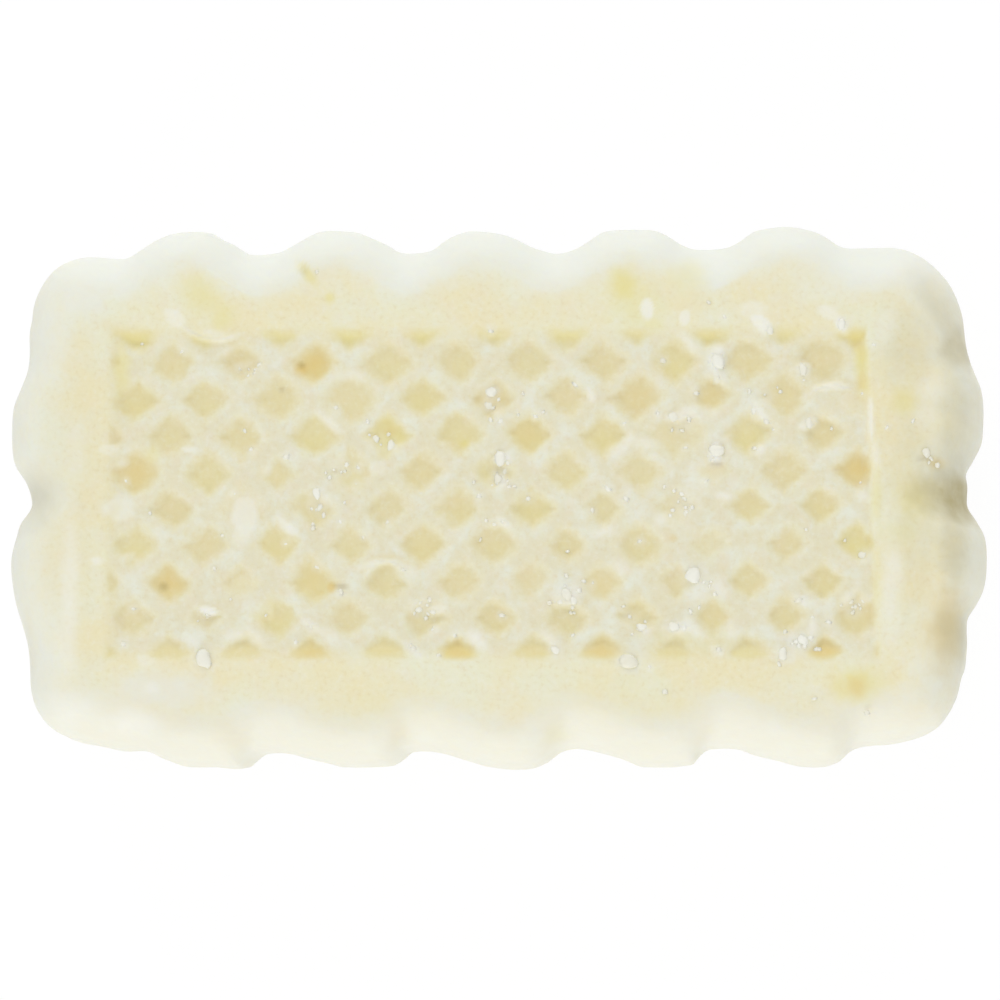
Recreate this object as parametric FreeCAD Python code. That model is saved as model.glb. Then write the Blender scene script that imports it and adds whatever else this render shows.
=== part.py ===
"""A pressed bar of soap, one solid piece.

The bar is a long rounded block whose wall swells into lobes, like the edge of a biscuit: five on each
long side and two on each end. Hollows between the lobes widen towards the faces, where a soft shoulder
turns the wall over. A shallow panel sunk in the upper face holds a diagonal lattice of ribs, and between
the ribs lie square pits set on their corners. The lower face is plain and flat, and the bar rests on it.

Frame, in millimetres: +Z up, +X along the bar, origin at the middle of the resting face.
"""
import FreeCAD
import Part

import math
import os

from FreeCAD import Vector

# The block, measured over the crests of the lobes
bar_length = 90.0
bar_width = 49.6
bar_height = 24.0
corner_radius = 7.0

# The lobes share what the corners leave of each side, and their rounds are shares of their pitch
long_side_lobes = 5
end_lobes = 2
corner_reach = 11.0
lobe_height = 1.85
lobe_roundness = 0.51
hollow_roundness = 0.16

# The wall leans in by the draft that lets the bar leave its mould, on both sides of the parting line
wall_draft_deg = 2.5

# The shoulder between the wall and each face
shoulder_height = 6.4
shoulder_inset = 3.2
hollow_flare = 1.4
corner_flare = 1.3
shoulder_tiers = 5

# The panel sunk in the upper face
panel_length = 69.0
panel_width = 29.2
panel_depth = 0.35
panel_corner_radius = 0.8
panel_draft_deg = 45.0
panel_edge_bevel = 0.1

# The lattice on the panel's floor
pit_pitch = 6.5
rib_width = 1.9
pit_depth = 0.6
pit_draft_deg = 38.0
smallest_pit_share = 0.06

OUT = "parts"


class Round:
    """One rounded turn of the outline: convex where bulge is 1, concave where it is -1."""

    def __init__(self, x, y, radius, bulge):
        self.x = x
        self.y = y
        self.radius = radius
        self.signed = radius * bulge

    def touch(self, heading):
        """The point of the round where the outline runs along heading, with the soap on its left."""
        return (
            self.x + math.sin(heading) * self.signed,
            self.y - math.cos(heading) * self.signed,
        )


def heading_between(first, second):
    """The heading of the straight flank that touches both rounds."""
    dx = second.x - first.x
    dy = second.y - first.y
    step = second.signed - first.signed
    run = math.sqrt(dx * dx + dy * dy - step * step)
    return math.atan2(dy, dx) - math.atan2(step, run)


def side_rounds(lobes, span, reach, inset, flare):
    """The rounds of one side as (place along it, distance out, radius, bulge), from its start to its end.

    span is the bar's full size along the side, and reach is how far out the crests stand at the wall.
    """
    pitch = (span - 2 * corner_reach) / lobes
    crest = reach - inset
    lobe_radius = lobe_roundness * pitch - inset
    hollow_radius = hollow_roundness * pitch
    found = []
    for i in range(lobes + 1):
        place = (i - lobes / 2) * pitch
        deeper = corner_flare if i in (0, lobes) else hollow_flare
        hollow = crest - lobe_height - deeper * flare
        found.append((place, hollow + hollow_radius, hollow_radius, -1))
        if i < lobes:
            found.append((place + pitch / 2, crest - lobe_radius, lobe_radius, 1))
    corner = corner_radius - inset - corner_flare * flare
    along = span / 2 - lobe_height - corner_radius
    found.append((along, reach - lobe_height - corner_radius, corner, 1))
    return found


def section_rounds(inset, flare):
    """All rounds of the outline, anticlockwise from the right end, pulled in by inset at the crests.

    flare runs from 0 at the wall to 1 at the face, and deepens the hollows and corners on the way.
    """
    sides = ((end_lobes, bar_width, bar_length / 2), (long_side_lobes, bar_length, bar_width / 2)) * 2
    rounds = []
    for i, (lobes, span, reach) in enumerate(sides):
        turn = i * math.pi / 2
        for along, out, radius, bulge in side_rounds(lobes, span, reach, inset, flare):
            x = out * math.cos(turn) - along * math.sin(turn)
            y = out * math.sin(turn) + along * math.cos(turn)
            rounds.append(Round(x, y, radius, bulge))
    return rounds


def section(z, inset, flare):
    """The lobed outline at one height, as a closed wire of arcs joined by short straight flanks."""
    rounds = section_rounds(inset, flare)
    count = len(rounds)
    headings = [heading_between(rounds[i], rounds[(i + 1) % count]) for i in range(count)]
    edges = []
    for i, turn in enumerate(rounds):
        came = headings[i - 1]
        goes = headings[i]
        swing = (goes - came + math.pi) % (2 * math.pi) - math.pi
        start = Vector(*turn.touch(came), z)
        middle = Vector(*turn.touch(came + swing / 2), z)
        end = Vector(*turn.touch(goes), z)
        following = Vector(*rounds[(i + 1) % count].touch(goes), z)
        edges.append(Part.Arc(start, middle, end).toShape())
        edges.append(Part.LineSegment(end, following).toShape())
    return Part.Wire(edges)


def half_block():
    """The half above the parting line: a drafted wall, then the shoulder in tiers up to the flat face."""
    half_height = bar_height / 2
    wall_height = half_height - shoulder_height
    lean = math.tan(math.radians(wall_draft_deg))
    sections = [section(half_height, 0, 0), section(half_height + wall_height, wall_height * lean, 0)]
    for tier in range(1, shoulder_tiers + 1):
        angle = tier * math.pi / 2 / shoulder_tiers
        z = half_height + wall_height + shoulder_height * math.sin(angle)
        turned = 1 - math.cos(angle)
        sections.append(section(z, wall_height * lean + shoulder_inset * turned, turned))
    return Part.makeLoft(sections, True, True)


def block():
    """Both halves, joined on the parting line."""
    upper = half_block()
    lower = upper.mirror(Vector(0, 0, bar_height / 2), Vector(0, 0, 1))
    return upper.fuse(lower)


def rounded_rectangle(length, width, radius, z):
    """A closed wire about the Z axis, anticlockwise from the corner at +X +Y."""
    corners = []
    for i, (side_x, side_y) in enumerate(((1, 1), (-1, 1), (-1, -1), (1, -1))):
        middle = Vector(side_x * (length / 2 - radius), side_y * (width / 2 - radius), z)
        corners.append(Part.makeCircle(radius, middle, Vector(0, 0, 1), 90 * i, 90 * i + 90))
    edges = []
    for i, corner in enumerate(corners):
        following = corners[(i + 1) % len(corners)]
        edges.append(corner)
        edges.append(Part.makeLine(corner.lastVertex().Point, following.firstVertex().Point))
    return Part.Wire(edges)


def panel_floor_size():
    """Length and width of the panel's floor, inside its leaning wall."""
    lean = math.tan(math.radians(panel_draft_deg)) * panel_depth
    return panel_length - 2 * lean, panel_width - 2 * lean


def panel_tool():
    """The sunk panel as the shape that is taken away: a floor, a leaning wall and a bevelled mouth."""
    length, width = panel_floor_size()
    bevel = panel_edge_bevel
    rings = [
        rounded_rectangle(length, width, panel_corner_radius, bar_height - panel_depth),
        rounded_rectangle(panel_length, panel_width, panel_corner_radius, bar_height - bevel),
        rounded_rectangle(
            panel_length + 2 * bevel, panel_width + 2 * bevel, panel_corner_radius + bevel, bar_height
        ),
    ]
    return Part.makeLoft(rings, True, True)


def pit_reach():
    """How far a pit's corners lie from its middle, at the mouth."""
    return pit_pitch / 2 - rib_width * math.sqrt(0.5)


def pit(x, y):
    """One square pit set on its corner, narrower at the bottom."""
    mouth = pit_reach() * math.sqrt(0.5)
    bottom = mouth - math.tan(math.radians(pit_draft_deg)) * pit_depth
    made = Part.makeWedge(
        -bottom, 0, -bottom, -mouth, -mouth, bottom, pit_depth, bottom, mouth, mouth
    )
    made.rotate(Vector(0, 0, 0), Vector(1, 0, 0), 90)
    made.rotate(Vector(0, 0, 0), Vector(0, 0, 1), 45)
    made.translate(Vector(x, y, bar_height - panel_depth - pit_depth))
    return made


def pits():
    """Every pit of the lattice, those at the panel's edges cut off by its wall."""
    length, width = panel_floor_size()
    bottom_z = bar_height - panel_depth - pit_depth
    inside = Part.makeBox(length, width, pit_depth, Vector(-length / 2, -width / 2, bottom_z))
    reach = pit_reach()
    step = pit_pitch / 2
    columns = int((length / 2 + reach) / step) + 1
    rows = int((width / 2 + reach) / step) + 1
    whole_volume = pit(0, 0).Volume
    found = []
    for row in range(-rows, rows):
        for column in range(-columns, columns + 1):
            if (row + column) % 2:
                continue
            x = column * step
            y = (row + 0.5) * step
            if abs(x) >= length / 2 + reach or abs(y) >= width / 2 + reach:
                continue
            made = pit(x, y)
            if abs(x) + reach > length / 2 or abs(y) + reach > width / 2:
                made = made.common(inside)
            if made.Volume > whole_volume * smallest_pit_share:
                found.append(made)
    return found


def soap_bar():
    """The whole bar: the lobed block less the panel and the pits."""
    return block().cut(panel_tool()).cut(pits())


def main():
    os.makedirs(OUT, exist_ok=True)
    bar = soap_bar()
    solids = bar.Solids
    print("solids", len(solids), "valid", bar.isValid(), "faces", len(bar.Faces))
    print("volume_mm3", round(bar.Volume, 1), "box", bar.BoundBox)
    bar.exportStep(os.path.join(OUT, "soap_bar.step"))


main()
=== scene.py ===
import bisect
import math
import random

import bmesh
import bpy
from mathutils import Matrix, Vector, kdtree, noise


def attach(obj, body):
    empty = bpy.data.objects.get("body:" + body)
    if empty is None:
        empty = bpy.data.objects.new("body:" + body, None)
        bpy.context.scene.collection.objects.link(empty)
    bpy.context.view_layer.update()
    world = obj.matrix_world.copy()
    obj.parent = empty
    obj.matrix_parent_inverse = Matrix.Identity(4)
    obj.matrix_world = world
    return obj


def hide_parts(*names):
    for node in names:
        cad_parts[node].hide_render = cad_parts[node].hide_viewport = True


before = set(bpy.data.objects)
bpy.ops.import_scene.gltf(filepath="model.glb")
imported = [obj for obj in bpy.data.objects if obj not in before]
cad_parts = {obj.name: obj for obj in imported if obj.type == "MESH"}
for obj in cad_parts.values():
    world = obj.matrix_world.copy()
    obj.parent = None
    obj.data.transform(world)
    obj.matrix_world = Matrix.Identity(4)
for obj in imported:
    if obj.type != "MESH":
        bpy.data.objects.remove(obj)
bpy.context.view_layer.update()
print("frame loaded", list(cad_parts))

mm = 0.001  # shapes are worked out in millimetres and scaled to metres at the end


class Value:
    # an output socket with arithmetic: each expression adds its Math node
    def __init__(self, shader, output):
        self.shader = shader
        self.output = output

    def maths(self, operation, first, second):
        return self.shader.node("ShaderNodeMath", {"operation": operation}, {0: first, 1: second})

    def __add__(self, other):
        return self.maths("ADD", self, other)

    def __sub__(self, other):
        return self.maths("SUBTRACT", self, other)

    def __rsub__(self, other):
        return self.maths("SUBTRACT", other, self)

    def __mul__(self, other):
        return self.maths("MULTIPLY", self, other)

    __radd__ = __add__
    __rmul__ = __mul__


class Shader:
    def __init__(self, name):
        self.material = bpy.data.materials.new(name)
        self.material.use_nodes = True
        self.tree = self.material.node_tree
        self.tree.nodes.clear()

    def node(self, kind, settings=None, sockets=None, output=0):
        made = self.tree.nodes.new(kind)
        for key, setting in (settings or {}).items():
            setattr(made, key, setting)
        for key, given in (sockets or {}).items():
            if isinstance(given, Value):
                self.tree.links.new(given.output, made.inputs[key])
            else:
                made.inputs[key].default_value = given
        return Value(self, made.outputs[output]) if made.outputs else made

    def attribute(self, name):
        return self.node("ShaderNodeAttribute", {"attribute_name": name}, output="Fac")

    def noise(self, place, scale, detail=2.0):
        sockets = {"Vector": place, "Scale": scale, "Detail": detail}
        return self.node("ShaderNodeTexNoise", {}, sockets, output=0)

    def clamp(self, value, low, high):
        # low..high of the value becomes 0..1, and the rest is cut off
        sockets = {"Value": value, 1: low, 2: high, 3: 0.0, 4: 1.0}
        return self.node("ShaderNodeMapRange", {"interpolation_type": "SMOOTHSTEP"}, sockets)

    def mix(self, share, first, second):
        sockets = {0: share, 6: first, 7: second}
        return self.node("ShaderNodeMix", {"data_type": "RGBA"}, sockets, output=2)


def colour(red, green, blue):
    # screen values 0..255 as the linear colour that shaders take
    linear = []
    for level in (red, green, blue):
        part = level / 255
        linear.append(part / 12.92 if part <= 0.04045 else ((part + 0.055) / 1.055) ** 2.4)
    return (*linear, 1.0)


def ease(low, high, value):
    # smooth step from 0 at low to 1 at high
    share = max(0.0, min(1.0, (value - low) / (high - low)))
    return share * share * (3 - 2 * share)


def ripple(x, y, z, size):
    # smooth noise from -1 to 1 with features of about size millimetres
    return noise.noise(Vector((x / size, y / size, z / size)))


# the bar's body, its lobed wall and its soft shoulders
bar = {
    "halfLength": 43.15,   # block between the hollows, without the lobes
    "halfWidth": 22.95,
    "height": 24.0,
    "corners": {"bottomRight": 7.9, "topRight": 7.6, "topLeft": 6.5, "bottomLeft": 6.2},
    "draftDegrees": 2.5,
    "shoulderHeight": 6.4,
    "shoulderAtLobe": 3.4,
    "shoulderAtHollow": 4.6,
    "softening": 2.4,      # how far a lobe is smoothed out at the face
    "rimRings": 14,
    "shoulderRings": 14,
    "wallRings": 9,
    "underRings": 9,
}

# how far the wall stands out of the block along each side: place, distance out
waves = {
    "right": [
        (-21, 0), (-16.7, -0.41), (-15.3, -0.14), (-13.4, 0.05), (-10.9, 0.18), (-9.5, 1.01),
        (-8.2, 1.62), (-6, 1.89), (-3.7, 1.71), (-2.3, 1.03), (-1, 0.25), (0.9, 0.2), (2.5, 0.09),
        (4, 0.82), (5.5, 1.51), (7.9, 1.62), (9.7, 1.53), (11, 1.01), (12.3, 0.47), (14.3, 0.05),
        (16.1, -0.08), (21, 0),
    ],
    "top": [
        (-41, 0), (-36.28, -0.45), (-34.18, -0.45), (-33.08, 0.17), (-31.38, 1.19), (-29.58, 1.76),
        (-26.38, 1.72), (-25.48, 1.17), (-24.18, 0.58), (-22.88, -0.2), (-20.08, -0.08), (-18.88, 0.51),
        (-17.58, 1.23), (-16.28, 1.8), (-13.28, 1.8), (-11.78, 1.32), (-10.18, 0.62), (-8.78, -0.1),
        (-5.98, 0.1), (-4.88, 0.93), (-3.68, 1.54), (-2.38, 1.85), (-0.18, 1.69), (1.52, 1.24),
        (2.92, 0.58), (4.02, 0.15), (5.72, -0.18), (7.52, 0.3), (8.72, 1.08), (10.02, 1.8), (14.22, 1.89),
        (15.42, 1.52), (17.02, 0.54), (18.42, 0.1), (21.22, 0.27), (22.42, 0.87), (23.52, 1.61),
        (24.82, 1.93), (26.52, 2.13), (29.02, 1.74), (30.12, 1.21), (31.42, 0.32), (32.52, 0.1),
        (35.22, 0.14), (37.52, 0.19), (41, 0),
    ],
    "left": [
        (-21, 0), (-17.6, -0.1), (-15.6, -0.05), (-13.7, 0.21), (-12.1, 0.71), (-10.2, 1.24),
        (-8.4, 1.59), (-6, 1.8), (-3.9, 1.39), (-2.5, 0.97), (-1.2, 0.04), (-0.1, 0.04), (1.4, 0.6),
        (2.7, 1.47), (4.1, 1.8), (8.1, 1.8), (9.7, 1.23), (11, 0.71), (12.3, 0.38), (15.2, 0.32),
        (16.7, 0.06), (21, 0),
    ],
    "bottom": [
        (-41, 0), (-37.45, -0.16), (-35.15, 0.26), (-32.55, 0.3), (-31.05, 1), (-28.85, 1.72),
        (-26.35, 1.74), (-23.85, 1.82), (-23.15, 1.21), (-22.05, 0.54), (-19.45, 0.5), (-17.65, 0.98),
        (-15.75, 1.43), (-14.25, 1.74), (-10.45, 1.65), (-9.35, 1.13), (-8.35, 0.36), (-5.95, 0.25),
        (-4.15, 0.69), (-2.35, 1.28), (-0.75, 1.74), (2.65, 1.89), (4.15, 1.37), (5.65, 0.32),
        (7.25, -0.07), (9.35, 0.32), (11.55, 0.95), (13.35, 1.65), (17.85, 1.43), (18.55, 0.63),
        (19.45, 0.02), (21.85, -0.05), (23.95, 0.65), (26.25, 1.17), (27.85, 1.52), (30.05, 1.54),
        (31.45, 1.08), (32.55, 0.14), (34.05, -0.29), (37.25, -0.38), (41, 0),
    ],
}
sides = ["right", "top", "left", "bottom"]   # anticlockwise, each from one corner to the next


def waveAt(side, place):
    # smooth curve through the points of one side
    points = waves[side]
    last = len(points) - 1
    i = max(0, min(bisect.bisect([point[0] for point in points], place) - 1, last - 1))
    before, start, end, after = (points[max(0, min(k, last))] for k in (i - 1, i, i + 1, i + 2))
    run = end[0] - start[0]
    share = max(0.0, min(1.0, (place - start[0]) / run))
    leaving = (end[1] - before[1]) / (end[0] - before[0]) * run
    arriving = (after[1] - start[1]) / (after[0] - start[0]) * run
    square = share * share
    cube = square * share
    return (
        (2 * cube - 3 * square + 1) * start[1] + (cube - 2 * square + share) * leaving
        + (3 * square - 2 * cube) * end[1] + (cube - square) * arriving
    )


def lobeHeight(side, place, spread):
    # spread smooths the wave along the side, as the shoulder does on its way to the face
    if spread < 0.05:
        return waveAt(side, place)
    total = 0.0
    for share, weight in ((-1, 0.12), (-0.5, 0.23), (0, 0.3), (0.5, 0.23), (1, 0.12)):
        total += weight * waveAt(side, place + share * spread)
    return total


def outlineAt(sideIndex, share):
    # a point of the outline without lobes, its outward direction, and the place along its side
    names = ["bottomRight", "topRight", "topLeft", "bottomLeft"]
    first = bar["corners"][names[sideIndex]]
    last = bar["corners"][names[(sideIndex + 1) % 4]]
    upright = sideIndex % 2 == 0
    halfSpan = bar["halfWidth"] if upright else bar["halfLength"]
    reach = bar["halfLength"] if upright else bar["halfWidth"]
    run = 2 * halfSpan - first - last
    firstArc = first * math.pi / 4
    distance = share * (firstArc + run + last * math.pi / 4)
    if distance < firstArc:
        angle = distance / first - math.pi / 4
        along = -halfSpan + first + first * math.sin(angle)
        out = reach - first + first * math.cos(angle)
    elif distance < firstArc + run:
        angle = 0.0
        along = -halfSpan + first + distance - firstArc
        out = reach
    else:
        angle = (distance - firstArc - run) / last
        along = halfSpan - last + last * math.sin(angle)
        out = reach - last + last * math.cos(angle)
    turn = Matrix.Rotation(sideIndex * math.pi / 2, 2)
    point = turn @ Vector((out, along))
    outward = turn @ Vector((math.cos(angle), math.sin(angle)))
    return point, outward, point.y if upright else point.x


# the sunk panel and the pits of its lattice
panel = {
    "halfGridX": 36.2,    # the finely divided zone of the upper face
    "halfGridY": 16.4,
    "cell": 0.24,
    "left": -35.0,
    "rightAtTop": 33.8,
    "rightAtBottom": 34.9,
    "top": 14.8,
    "bottom": -14.95,
    "depth": 0.26,
    # where the floor, the pits and their colour fade out: mm inside the left, right, top and bottom edge
    "floorFade": ((-0.5, 1.54), (-0.2, 0.66), (-0.7, 1.65), (-0.8, 1.65)),
    "pitFade": ((-0.2, 1.1), (-0.2, 0.7), (-0.2, 1.5), (-0.2, 1.5)),
    "tintFade": ((-0.5, 0.5), (-0.3, 0.4), (-0.6, 0.9), (-0.6, 0.5)),
}
pits = {
    "pitchX": 3.285,      # pits stand on every second column of each row
    "pitchY": 3.33,
    "middleX": 0.18,
    "middleY": 0.24,
    "turnDegrees": 0.32,  # the whole lattice sits slightly askew
    "rows": (-5, 4),
    "half": 1.95,
    "wornRows": 0.013,    # how much smaller the pits get with each row towards the near side
    "depth": 0.46,
    "corner": 1.2,        # 1 is a sharp diamond and 2 a circle
    "stretch": 1.1,       # width over height
    "wander": 0.26,       # how far the pits' edges run astray, slowly and in small steps
    "jitter": 0.12,
    "ragged": 0.13,
    "softEdge": (1.28, 0.5),
    "seed": 11,
}
# rows count up from the middle of the panel, columns to the right of it
oddPits = {
    (3, -5): {"depth": 1.1, "warm": 0.72, "half": 0.95, "yellow": 0.3},
    (3, -7): {"half": 0.92, "warm": 0.15},
    (3, -9): {"depth": 0.75, "warm": 0.15},
    (3, 5): {"half": 1.0, "yellow": 0.3},
    (4, -10): {"yellow": 0.55, "half": 1.0},
    (4, 10): {"yellow": 0.75, "warm": 0.3, "half": 1.15},
    (3, 9): {"half": 1.12, "warm": 0.15, "depth": 0.8},
    (2, -10): {"half": 1.0, "yellow": 0.25},
    (2, -6): {"half": 0.95},
    (2, -4): {"half": 1.15, "depth": 0.7},
    (2, -2): {"half": 0.9, "yellow": 0.3},
    (1, -5): {"half": 1.0, "yellow": 0.35},
    (1, -3): {"half": 0.95, "yellow": 0.75, "depth": 1.05},
    (1, -1): {"yellow": 0.25},
    (0, -10): {"half": 1.08, "warm": 0.5, "depth": 0.9},
    (0, -8): {"yellow": 0.2},
    (0, -6): {"half": 0.75, "depth": 0.6, "yellow": 0.3},
    (0, -4): {"half": 0.95, "depth": 0.7},
    (-1, -7): {"depth": 0.1},
    (-1, -5): {"half": 0.92, "depth": 0.8, "yellow": 0.2},
    (-2, -10): {"yellow": 0.3, "depth": 0.9},
    (-2, -6): {"half": 0.92, "yellow": 0.35},
    (-2, -4): {"half": 0.95},
    (-3, -9): {"warm": 0.6, "depth": 1.0, "half": 0.98},
    (-3, -7): {"half": 0.78, "depth": 0.75},
    (-3, -5): {"half": 1.05, "warm": 0.25, "yellow": 0.3},
    (-4, -10): {"half": 0.95},
    (-4, -8): {"half": 0.72, "depth": 0.65},
    (-4, -6): {"half": 1.08, "depth": 0.8, "yellow": 0.4},
    (-5, -5): {"warm": 0.55, "yellow": 0.5},
    (-5, -1): {"warm": 0.75, "yellow": 0.8, "depth": 1.2},
    (-5, 3): {"warm": 0.55, "yellow": 0.4},
    (-5, 9): {"warm": 0.65, "half": 0.85, "yellow": 0.4},
    (2, 0): {"warm": 0.3, "half": 0.9},
    (2, 4): {"warm": 0.3, "half": 1.12},
    (2, 6): {"warm": 0.3, "half": 0.85},
    (2, 8): {"half": 1.05},
    (2, 10): {"depth": 0.08},
    (1, 1): {"warm": 0.3, "yellow": 0.3, "depth": 1.1},
    (1, 3): {"yellow": 0.3},
    (1, 5): {"half": 1.22, "depth": 0.55},
    (1, 7): {"half": 0.98, "yellow": 0.35},
    (1, 9): {"half": 0.88, "warm": 0.15},
    (0, 0): {"yellow": 0.35, "half": 0.85, "depth": 0.8},
    (0, 4): {"half": 0.95, "depth": 0.75},
    (0, 6): {"half": 0.65, "depth": 0.45, "warm": 0.25},
    (0, 10): {"half": 0.92, "warm": 0.65, "depth": 1.15},
    (-1, 1): {"half": 0.95, "yellow": 0.3},
    (-1, 5): {"half": 0.85, "depth": 0.5},
    (-1, 3): {"half": 0.85},
    (-1, 7): {"half": 0.88, "depth": 0.9},
    (-1, 9): {"half": 0.9},
    (-2, 2): {"half": 0.85},
    (-2, 8): {"half": 0.9},
    (-2, 10): {"yellow": 0.5},
    (-2, 6): {"half": 0.8, "depth": 0.5},
    (-3, 1): {"depth": 0.6, "half": 0.9, "warm": 0.15},
    (-3, 3): {"depth": 0.65, "warm": 0.25, "half": 0.85},
    (-3, 5): {"half": 0.85, "depth": 0.8},
    (-3, 7): {"half": 0.85},
    (-3, 9): {"half": 0.88},
    (-4, 4): {"half": 0.9, "yellow": 0.2},
    (-4, 6): {"half": 0.88, "depth": 0.9},
    (-4, 8): {"half": 0.88},
    (-4, 0): {"half": 0.9},
}


def makePits():
    chance = random.Random(pits["seed"])
    turn = Matrix.Rotation(math.radians(pits["turnDegrees"]), 2)
    made = {}
    for row in range(pits["rows"][0], pits["rows"][1] + 1):
        for column in range(-12, 13):
            if (row + column) % 2:
                continue
            odd = oddPits.get((row, column), {})
            tinted = 0.35 if row in pits["rows"] else 0.0
            spot = turn @ Vector((column * pits["pitchX"], (row + 0.5) * pits["pitchY"]))
            worn = 1 + pits["wornRows"] * (row + 0.5)
            made[row, column] = {
                "x": spot.x + pits["middleX"] + chance.uniform(-0.14, 0.14),
                "y": spot.y + pits["middleY"] + chance.uniform(-0.12, 0.12),
                "half": pits["half"] * worn * odd.get("half", chance.uniform(0.94, 1.06)),
                "depth": pits["depth"] * odd.get("depth", chance.uniform(0.85, 1.1)),
                "corner": pits["corner"] + chance.uniform(-0.08, 0.15),
                "lean": chance.uniform(-0.14, 0.14),
                "warm": odd.get("warm", chance.uniform(0.0, 0.14)),
                "yellow": odd.get("yellow", chance.uniform(0.0, 0.2) + tinted),
            }
    return made


lattice = makePits()

# flat smears of soap over the lattice: x, y, half width, half height, turn, cover, chalk
smears = [
    (-22.5, -2.2, 1.2, 2.0, 6, 0.9, 0.45),
    (-34.0, -1.6, 1.4, 1.2, 0, 0.7, 0.3),
    (-35.0, 3.9, 0.9, 0.5, 0, 0.5, 0.36),
    (-22.0, -9.9, 2.4, 2.3, 30, 0.7, 0),
    (30.9, 8.0, 2.6, 1.5, -12, 0.9, 0.06),
    (19.3, 1.4, 1.9, 1.7, 35, 0.5, 0.15),
    (17.4, -2.7, 1.4, 1.3, 0, 0.5, 0.12),
    (20.3, 11.9, 0.75, 1.0, 0, 0.9, 0.85),
    (20.3, 10.3, 0.4, 0.5, 0, 0.8, 0.48),
    (20.2, 3.6, 0.65, 0.95, 8, 0.9, 0.85),
    (16.6, 6.8, 0.9, 0.45, 8, 0.9, 0.48),
    (18.4, 7.0, 0.8, 0.4, -10, 0.8, 0.3),
    (28.6, 6.2, 0.9, 0.45, 20, 0.8, 0.42),
    (28.1, 11.1, 0.8, 0.65, -15, 0.8, 0.42),
    (24.4, 15.3, 1.25, 0.6, -38, 0.3, 0.8),
    (14.0, 16.6, 0.6, 1.0, 0, 0.2, 0.75),
    (17.4, 15.8, 0.5, 0.8, -10, 0.2, 0.6),
    (23.6, 16.6, 1.3, 0.8, 0, 0.1, 0.4),
    (30.4, 16.2, 1.0, 0.6, -30, 0.1, 0.5),
    (31.6, 15.2, 0.6, 0.75, 20, 0.5, 0.77),
    (-29.1, 15.9, 1.2, 0.75, -38, 0.2, 0.5),
    (-31.4, -15.3, 0.9, 0.5, -15, 0.2, 0.3),
    (-25.8, -10.8, 0.9, 0.42, -12, 0.9, 0.77),
    (-27.6, 3.9, 0.8, 0.3, -8, 0.6, 0.42),
    (6.9, -9.4, 1.3, 0.9, 15, 0.7, 0.42),
    (16.7, -12.2, 1.2, 0.45, 0, 0.6, 0.48),
    (26.5, -14.9, 1.1, 0.65, -10, 0.25, 0.42),
    (20.4, -14.4, 0.8, 0.4, -35, 0.6, 0.42),
    (8.9, 8.9, 0.4, 0.8, 25, 0.5, 0.36),
    (0.6, 3.0, 0.6, 0.4, 0, 0.9, 0.48),
    (10.6, -3.6, 0.8, 0.4, 0, 0.5, 0.3),
    (24.0, 7.3, 0.7, 0.9, -30, 0.5, 0.24),
    (-10.4, 2.2, 0.9, 0.7, 20, 0.6, 0.3),
    (-4.9, -10.6, 0.9, 0.5, 10, 0.6, 0.42),
]
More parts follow.
